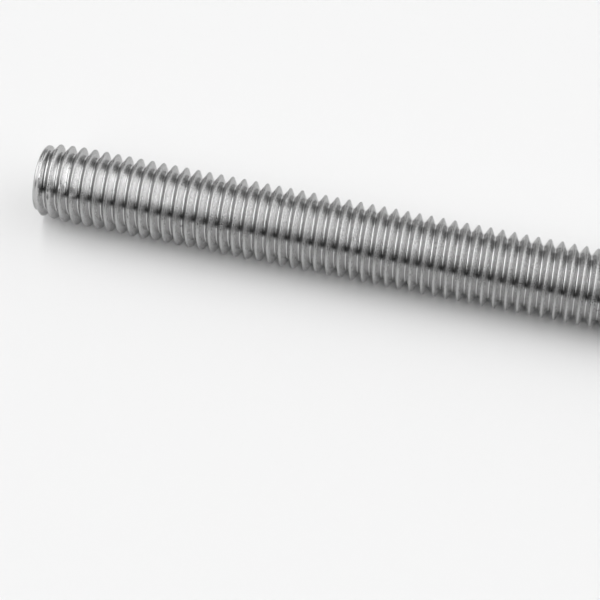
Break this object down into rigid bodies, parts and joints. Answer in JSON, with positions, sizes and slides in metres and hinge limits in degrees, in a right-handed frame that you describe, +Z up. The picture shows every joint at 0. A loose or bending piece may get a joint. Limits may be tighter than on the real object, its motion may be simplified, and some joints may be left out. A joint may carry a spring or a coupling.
{
  "type": "threaded rod",
  "caption": "Fully threaded metric rod in stainless steel: one straight bar with a right-hand rolled thread from end to end and chamfered ends.",
  "frame": {"origin": "on the surface the rod lies on, under the middle of its length", "axes": "+X along the rod's axis, +Z up; the axis is major_d / 2 above the surface"},
  "size_m": [0.12, 0.0098, 0.0098],
  "materials": {
    "stainless_steel": "cold-rolled stainless steel, bright on the flanks and in the root, satin on the crests"
  },
  "bodies": {
    "root": {"rod": "stainless_steel"}
  },
  "joints": []
}
